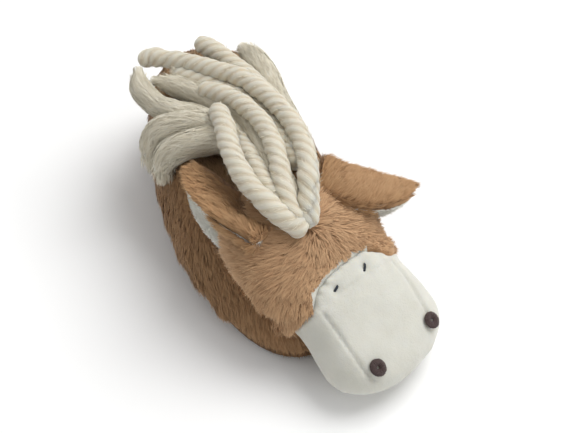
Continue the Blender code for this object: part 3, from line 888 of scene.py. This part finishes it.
class SLIPPER_OT_muzzle(bpy.types.Operator):
    """Stuffs the muzzle and sinks its seams, the brow crease and the stitched eyes into it"""

    bl_idname = "slipper.muzzle"
    bl_label = "Muzzle"

    def execute(self, context):
        mesh = subdivided(stuffed("muzzle", 2.0 * MM, 1.4 * MM), "muzzle_padding")
        bm = opened(mesh)
        points = np.array([v.co for v in bm.verts])
        normals = np.array([v.normal for v in bm.verts])
        depth = np.zeros(len(points))
        surface = BVHTree.FromBMesh(bm)
        for route, deep, wide in SEAMS:
            line = smooth_line(route, 2 * MM)[0]
            line = np.array([surface.find_nearest(Vector(place))[0] for place in line])
            gap, along = distance_to(points, line)
            ends = np.clip(np.minimum(along, 1 - along) * 8 + 0.35, 0, 1)
            depth -= deep * MM * ends * np.exp(-((gap / (wide * MM)) ** 2))
            depth += 0.18 * deep * MM * ends * np.exp(-(((gap - 4 * MM) / (3 * MM)) ** 2))
        for eye, _, _ in EYES:
            gap = np.linalg.norm(points - np.array(eye) * MM, axis=1)
            depth -= 1.2 * MM * np.exp(-((gap / (2.6 * MM)) ** 2))
        # The groove beside the head is filled, so that the plush runs in under the fur's edge.
        to_head = gaps_to(tree_of("head"), points)
        depth += 1.5 * MM * np.exp(-((to_head / (2.2 * MM)) ** 2))
        depth += 0.3 * MM * swirl(points, 0.025, 5)
        moved = points + normals * depth[:, None]
        for vert, place in zip(bm.verts, moved):
            vert.co = place
        bm.normal_update()
        bm.to_mesh(mesh)
        bm.free()
        made = add_piece("muzzle_padding", mesh, [plush_material()], ["muzzle"])
        return {"FINISHED"}


# Stitching

# Each eye: its place in millimetres, the way its stitches run, and their length in millimetres.
EYES = (
    ((12.1, -77.8, 42.6), (0.90, 0.75, 0.25), 3.0),
    ((27.8, -71.6, 43.0), (0.45, 0.95, 0.30), 3.8),
)


def join_rings(bm, layer, first, second, low, high):
    """A band of faces between two rings; its map goes round them, and from low to high."""
    sides = len(first)
    for k in range(sides):
        j = (k + 1) % sides
        face = bm.faces.new((first[k], first[j], second[j], second[k]))
        for loop, (u, v) in zip(face.loops, ((k, low), (k + 1, low), (k + 1, high), (k, high))):
            loop[layer].uv = (u / sides, v)


def stitch(bm, start, end, rise, up):
    """One thread that comes up at its start, bows over and goes down at its end."""
    steps, sides = 8, 6
    radius = sizes().thread / 2
    layer = bm.loops.layers.uv.verify()
    span = end - start
    across = span.cross(up).normalized()
    before = None
    for i in range(steps + 1):
        share = i / steps
        centre = start + span * share + up * (rise * math.sin(math.pi * share) - radius * 0.3)
        ring = bmesh.ops.create_circle(bm, segments=sides, radius=radius)["verts"]
        climb = rise / span.length * math.pi * math.cos(math.pi * share)
        slope = (span.normalized() + up * climb).normalized()
        above = across.cross(slope).normalized()
        for k, vert in enumerate(ring):
            angle = 2 * math.pi * k / sides
            vert.co = centre + (across * math.cos(angle) + above * math.sin(angle)) * radius
        if before:
            join_rings(bm, layer, before, ring, (i - 1) / steps, i / steps)
        else:
            bm.faces.new(ring)
        before = ring
    bm.faces.new(before)


class SLIPPER_OT_stitching(bpy.types.Operator):
    """Embroiders the nostrils and the eyes"""

    bl_idname = "slipper.stitching"
    bl_label = "Nostrils and eyes"

    def execute(self, context):
        rng = np.random.default_rng(3)
        count = sizes().stitches
        material = thread_material("nostril_thread", colours().thread)
        for side in ("lateral", "medial"):
            node = "nostril_" + side
            low, high = (Vector(corner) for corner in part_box(node))
            centre = (low + high) / 2
            mesh = NODES[node].data
            up = Vector((0, 0, 0))
            for face in mesh.polygons:
                if face.normal.z > 0:
                    up += face.normal * face.area
            up.normalize()
            nose = Vector(NOSE)
            run = (nose - up * nose.dot(up)).normalized()
            across = up.cross(run)
            half_run = max((v.co - centre).dot(run) for v in mesh.vertices)
            half_across = max((v.co - centre).dot(across) for v in mesh.vertices)
            top = max((v.co - centre).dot(up) for v in mesh.vertices)
            base = centre + up * (top - 1.1 * MM)

            def on_rim(angle):
                return run * math.cos(angle) * half_run + across * math.sin(angle) * half_across

            bm = bmesh.new()
            for k in range(count):
                angle = 2 * math.pi * (k * 7 % count + rng.uniform(-0.3, 0.3)) / count
                # The stitches start a fifth of the way out, so a little cream plush shows in the middle:
                # a painted highlight, a glint.
                start = base + on_rim(angle + 0.5) * 0.2
                rise = rng.uniform(0.65, 0.95) * MM
                stitch(bm, start, base + on_rim(angle) * rng.uniform(0.88, 0.93), rise, up)
            bmesh.ops.recalc_face_normals(bm, faces=bm.faces)
            mesh = mesh_from(bm, node, uv_name="thread")
            add_piece(node + "_stitches", mesh, [material], [node])
        material = thread_material("eye_thread", colours().eye)
        surface = tree_of(bpy.data.objects["muzzle_padding"].data)
        bm = bmesh.new()
        for eye, way, size in EYES:
            centre, up, _, _ = surface.find_nearest(Vector(eye) * MM)
            way = Vector(way)
            way = (way - up * way.dot(up)).normalized()
            across = up.cross(way)
            for shift, share in ((-0.2, 0.85), (0.2, 1.0)):
                middle = centre + across * shift * MM + up * 0.35 * MM
                half = way * size * share / 2 * MM
                lean = across * 0.1 * MM
                stitch(bm, middle - half, middle + half + lean, 0.5 * MM, up)
        bmesh.ops.recalc_face_normals(bm, faces=bm.faces)
        mesh = mesh_from(bm, "eyes", uv_name="thread")
        add_piece("eye_stitches", mesh, [material])
        return {"FINISHED"}


# The ears


def uncovered(face, tree, reach):
    """Whether no face of the tree lies close over a face."""
    start = face.calc_center_median() + face.normal * 0.05 * MM
    return tree.ray_cast(start, face.normal, reach)[0] is None


class SLIPPER_OT_ears(bpy.types.Operator):
    """Dresses the ears: long pile outside, short cream nap inside"""

    bl_idname = "slipper.ears"
    bl_label = "Ears"

    def execute(self, context):
        values = sizes()
        pile = pile_material("brown_fur_ears", (0.85, 0.81, 0.73))
        # The lining's cream is painted 1.3 times lighter: painted light on a cloth that lies in shade.
        plush, nap = plush_material("cream_lining_painted_light", 1.3), nap_material()
        backing = backing_material()
        for side, seed in (("lateral", 41), ("medial", 43)):
            outer, lining = "ear_" + side, "ear_lining_" + side
            inner_side = tree_of(lining)
            bm = merged_copy(outer)
            cloth = merged_copy(lining)
            tip = max((v.co for v in bm.verts), key=lambda co: (co - Vector(BROW)).length).copy()
            way = np.array((tip - Vector(BROW)).normalized())
            grown = [face for face in bm.faces if uncovered(face, inner_side, 0.8 * MM)]

            def length_of(points):
                """Shorter pile at the edges, beside the lining."""
                far = gaps_to(inner_side, points)
                return values.ear_pile * np.clip((far - 0.8 * MM) / (2 * MM), 0.38, 1)

            obstacles = tree_of(lining, "mane")
            mesh = grow_pile(
                outer + "_pile", grown, values.ear_hairs, length_of, way, 0.5, 0.12, obstacles, seed,
                values.hair, 60,
            )
            add_piece(outer + "_pile", mesh, [pile])
            add_piece(outer + "_cloth", mesh_from(bm, outer), [backing], [outer])
            outside = tree_of(outer)
            # Brown tufts stand in the ear's root, the last three tenths of its length.
            bare = 0.7 * max((v.co - tip).length for v in cloth.verts)
            shown = [face for face in cloth.faces if uncovered(face, outside, 1.5 * MM)]
            rooted = [face for face in shown if (face.calc_center_median() - tip).length > bare]
            mesh = grow_pile(
                lining + "_nap", shown, values.nap_hairs, values.nap, way, 0.8, 0.0, outside,
                seed + 1, 0.3 * MM,
            )
            add_piece(lining + "_nap", mesh, [nap])
            mesh = grow_pile(
                outer + "_root_pile", rooted, values.root_hairs, values.ear_pile, way, 0.6, 0.12,
                tree_of("mane"), seed + 2, values.hair, 40,
            )
            add_piece(outer + "_root_pile", mesh, [pile])
            add_piece(lining + "_cloth", mesh_from(cloth, lining), [plush], [lining])
        return {"FINISHED"}


# The mane

# Each strand: its radius and its twist as shares of the yarn's, how far its end is combed out and its
# route, both in millimetres.
STRANDS = {
    "crown_medial": (1.0, 1.0, 1, (
        (8, -56, 59.5), (11, -48, 65.5), (15, -37.5, 70), (18, -25, 70.5), (20, -10, 68), (20, 4, 65.5),
        (18.5, 17, 63.5), (15.5, 31, 62.5), (11, 44, 62), (6, 56, 62), (0, 66, 61),
    )),
    "crown_long": (1.0, 1.0, 1, (
        (7, -56, 59), (10, -48, 66), (14, -38, 71), (17.5, -26, 73), (18.5, -12, 73), (17, 2, 72),
        (13.5, 16, 70.5), (8, 29, 69), (0, 39, 67), (-8, 48.5, 65), (-16, 57, 62.5), (-23, 63, 61),
        (-29, 63, 59),
    )),
    "crown_middle": (1.0, 1.0, 1, (
        (5, -55, 59), (2, -50, 65), (3, -38, 70), (6, -22, 72), (7, -6, 71), (5, 6, 70), (1, 18, 68),
        (-5, 27, 66), (-10, 32, 64),
    )),
    "crown_lateral": (1.06, 1.0, 2, (
        (6, -57, 59), (-2, -53, 65.5), (-8, -44, 70.5), (-11, -34, 71), (-12, -22, 71.5),
        (-11, -10, 71), (-9, 0, 70), (-8, 9, 68.5), (-8, 16, 67),
    )),
    "under_middle": (1.0, 1.0, 1, (
        (1, -46, 66), (-3, -34, 67), (-3, -20, 66), (-3, -6, 63), (-4, 8, 61), (-8, 20, 59),
    )),
    "under_long": (1.08, 0.5, 5, (
        (6, -44, 66), (4, -30, 66.5), (4, -15, 65), (4, 0, 63), (1, 14, 62), (-5, 25, 61),
        (-12, 35, 60.5), (-18, 42, 60), (-23, 47, 60),
    )),
    "under_back": (1.05, 1.0, 4, (
        (14, -30, 68), (13, -16, 67), (12, -2, 65.5), (10, 10, 64), (5, 22, 63.4), (-2, 34, 61.8),
        (-10, 44, 60.8), (-16, 51, 60),
    )),
    "back_lateral": (1.1, 0.35, 4, (
        (-3, -6, 63), (-9, 8, 62), (-15, 19, 61), (-23, 26, 60), (-29, 33, 59), (-32.5, 42, 59),
        (-33, 49, 59), (-32, 54, 60),
    )),
    "side_front": (1.35, 0.2, 9, (
        (-3, -8, 63), (-10, 2, 61.5), (-20, 6, 59), (-28, 9, 55.5), (-32.5, 10, 51), (-35, 9, 47),
        (-35.5, 9, 43.5),
    )),
    "side_back": (1.35, 0.2, 9, (
        (-8, 10, 62), (-14, 14, 61), (-23, 18, 59.5), (-30, 21, 57), (-34, 21.5, 53), (-37, 20, 48),
        (-37.5, 18, 43.5),
    )),
    "back_medial": (1.3, 0.25, 6, (
        (15, -24, 69), (19, -8, 65), (21, 8, 61), (22, 22, 59), (23, 35, 59), (22, 47, 59),
        (21, 55, 58.5),
    )),
}


def smooth_line(points, step):
    """Evenly spaced places on a smooth curve through points in millimetres, and their runs."""
    points = np.array(points, dtype=float) * MM
    padded = np.vstack([2 * points[0] - points[1], points, 2 * points[-1] - points[-2]])
    fine = []
    for a, b, c, d in zip(padded, padded[1:], padded[2:], padded[3:]):
        for t in np.linspace(0, 1, 20, endpoint=False):
            curved = (2 * a - 5 * b + 4 * c - d) * t**2 + (3 * b - a - 3 * c + d) * t**3
            fine.append(0.5 * (2 * b + (c - a) * t + curved))
    fine.append(points[-1])
    fine = np.array(fine)
    run = np.concatenate([[0], np.cumsum(np.linalg.norm(np.diff(fine, axis=0), axis=1))])
    count = max(6, round(run[-1] / step))
    wanted = np.linspace(0, run[-1], count + 1)
    return np.stack([np.interp(wanted, run, fine[:, i]) for i in range(3)], axis=1), wanted


def frames_along(line):
    """Directions across and up at each place of a line, without any twist of their own."""
    ahead = unit(np.gradient(line, axis=0))
    across = unit(np.cross(ahead[0], [0, 0, 1]))
    sides = []
    for way in ahead:
        across = unit(across - way * (across @ way))
        sides.append(across)
    sides = np.array(sides)
    return sides, np.cross(ahead, sides)


def thinned(run, total, taper):
    """The share of its full width that a strand has at a place: it rounds off at both ends."""
    near = np.clip(np.minimum(run, total - run) / taper, 0, 1)
    return 0.3 + 0.7 * np.sqrt(1 - (1 - near) ** 2)


def twisted_strand(bm, route, radius, pitch, seed, taper):
    """One yarn: four plies laid round each other, as one soft skin."""
    around = 24
    line, run = smooth_line(route, 1.1 * MM)
    sides, ups = frames_along(line)
    layer = bm.loops.layers.uv.verify()
    rng = np.random.default_rng(seed)
    phase = rng.uniform(0, 6.28)
    angles = np.linspace(0, 2 * math.pi, around, endpoint=False)
    ply = np.mod(angles + math.pi / 4, math.pi / 2) - math.pi / 4
    # Each ply is a circle of radius reach, its centre off the strand's middle by offset.
    offset, reach = 0.27, 0.73
    profile = offset * np.cos(ply) + np.sqrt(reach**2 - (offset * np.sin(ply)) ** 2)
    waves = [(rng.uniform(3, 9), rng.uniform(0, 6.28)) for _ in range(3)]
    rings = []
    for i, (centre, s) in enumerate(zip(line, run)):
        turned = angles - 2 * math.pi * s / pitch + phase
        lump = 1 + 0.035 * sum(math.sin(s / (4 * MM) * w / 3 + p) for w, p in waves)
        size = radius * lump * thinned(s, run[-1], taper)
        ring = centre + spokes(sides[i], ups[i], turned) * (profile * size)[:, None]
        rings.append([bm.verts.new(place) for place in ring])
    for i, (first, second) in enumerate(zip(rings, rings[1:])):
        join_rings(bm, layer, first, second, run[i] * 10, run[i + 1] * 10)
    bm.faces.new(rings[0])
    bm.faces.new(rings[-1])
    return line, run, sides, ups


def fuzz_on(line, sides, ups, radius, count, rng, twist):
    """Short loose fibres that stand a little off a strand: their points and the skin's normals."""
    place = rng.integers(4, len(line) - 4, count)
    angle = rng.uniform(0, 2 * math.pi, count)
    out = spokes(sides[place], ups[place], angle)
    ahead = unit(np.gradient(line, axis=0))[place]
    flows = unit(ahead - np.cross(ahead, out) * 1.3 * twist)
    flows = turn_about(flows, out, rng.normal(0, 0.3, count))
    roots = line[place] + out * radius * 0.9
    lifts = np.abs(rng.normal(0.1, 0.14, count))
    return bend(roots, out, flows, rng.uniform(2, 4, count) * MM, lifts, 0.2, 3), out


def brush_at(line, sides, ups, radius, reach, count, rng):
    """The fibres of a cut end, fanned out a little: their points and the normals."""
    angle = rng.uniform(0, 2 * math.pi, count)
    share = np.sqrt(rng.random(count))
    out = spokes(sides[-1], ups[-1], angle)
    ahead = unit(line[-1] - line[-3])
    roots = line[-4] + out * (radius * 0.75 * share)[:, None]
    flows = unit(ahead + out * (0.3 * share)[:, None] + rng.normal(0, 0.1, (count, 3)))
    lengths = reach * (1.15 - 0.5 * share) * rng.uniform(0.6, 1.1, count)
    return bend(roots, out, flows, lengths, np.full(count, 0.05), 0.2, 3), out


def combed_on(line, run, sides, ups, radius, taper, count, rng):
    """Long fibres combed along a loose strand and a little past its end: points and normals.

    Their start and reach are counted in steps of the line.
    """
    steps = np.arange(len(line))
    start = rng.uniform(1, len(line) - 2, count)
    reach = rng.uniform(5, 13, count)
    angle = rng.uniform(0, 2 * math.pi, count)
    wander = rng.normal(0, 0.5, count)
    lift = rng.uniform(0.94, 1.12, count)
    points = []
    for k in range(4):
        at = start + reach * k / 3
        past = np.clip(at - steps[-1], 0, 5)[:, None] * (line[-1] - line[-2])
        past[:, 2] -= 0.3 * np.linalg.norm(past, axis=1)
        centre, across, up = (
            np.stack([np.interp(at, steps, part[:, i]) for i in range(3)], axis=1)
            for part in (line, sides, ups)
        )
        out = spokes(across, up, angle + wander * k / 3)
        width = radius * lift * thinned(np.interp(at, steps, run), run[-1], taper)
        points.append(centre + past + out * np.maximum(width, radius * 0.45)[:, None])
        if k == 1:
            normals = out
    return np.stack(points, axis=1), normals


class SLIPPER_OT_mane(bpy.types.Operator):
    """Lays the mane's twisted yarn, with its loose fibres and combed ends"""

    bl_idname = "slipper.mane"
    bl_label = "Mane"

    def execute(self, context):
        values = sizes()
        rng = np.random.default_rng(7)
        bm = bmesh.new()
        lots = []
        for number, (size, twist, comb, route) in enumerate(STRANDS.values()):
            radius = values.yarn / 2 * size
            pitch = values.twist / twist
            taper = radius * 1.1 if twist == 1 else radius * 2
            line, run, sides, ups = twisted_strand(bm, route, radius, pitch, 100 + number, taper)
            span = run[-1] / MM
            lots.append(fuzz_on(line, sides, ups, radius, int(span * 7), rng, twist))
            lots.append(brush_at(line, sides, ups, radius, (comb + 2) * MM, 140 + 35 * comb, rng))
            if twist < 1:
                lots.append(combed_on(line, run, sides, ups, radius, taper, int(span * 65), rng))
        bmesh.ops.recalc_face_normals(bm, faces=bm.faces)
        mesh = mesh_from(bm, "mane_yarn", uv_name="yarn")
        add_piece("mane_yarn", mesh, [yarn_material()], ["mane"])
        points, out = (np.concatenate(column) for column in zip(*lots))
        points[:, 1:] += rng.normal(0, 0.16 * MM, (len(points), 3, 3))
        widths = rng.uniform(0.12, 0.28, len(points)) * MM
        mesh = ribbons("mane_fibres", points, out, widths, rng.random(len(points)), rng, 0.6, 0.2)
        add_piece("mane_fibres", mesh, [fibre_material()])
        return {"FINISHED"}


# The panel and the run

OPERATORS = (
    SLIPPER_OT_stage,
    SLIPPER_OT_sole,
    SLIPPER_OT_upper,
    SLIPPER_OT_head,
    SLIPPER_OT_muzzle,
    SLIPPER_OT_stitching,
    SLIPPER_OT_ears,
    SLIPPER_OT_mane,
)


class SLIPPER_PT_panel(bpy.types.Panel):
    """Lists the slipper's sizes, colours and pieces"""

    bl_idname = "SLIPPER_PT_panel"
    bl_label = "Plush slipper"
    bl_space_type = "VIEW_3D"
    bl_region_type = "UI"
    bl_category = "Slipper"

    def draw(self, context):
        for group in (context.scene.slipper_sizes, context.scene.slipper_colours):
            for name in group.__annotations__:
                self.layout.prop(group, name)
        for operator in OPERATORS:
            self.layout.operator(operator.bl_idname)


CLASSES = (SlipperSizes, SlipperColours, *OPERATORS, SLIPPER_PT_panel)


def register():
    for item in CLASSES:
        bpy.utils.register_class(item)
    bpy.types.Scene.slipper_sizes = PointerProperty(type=SlipperSizes)
    bpy.types.Scene.slipper_colours = PointerProperty(type=SlipperColours)


def unregister():
    del bpy.types.Scene.slipper_colours
    del bpy.types.Scene.slipper_sizes
    for item in reversed(CLASSES):
        bpy.utils.unregister_class(item)


def main():
    """Makes every piece."""
    register()
    bpy.ops.slipper.stage()
    bpy.ops.slipper.sole()
    bpy.ops.slipper.upper()
    bpy.ops.slipper.head()
    bpy.ops.slipper.muzzle()
    bpy.ops.slipper.stitching()
    bpy.ops.slipper.ears()
    bpy.ops.slipper.mane()


if __name__ == "__main__":
    main()
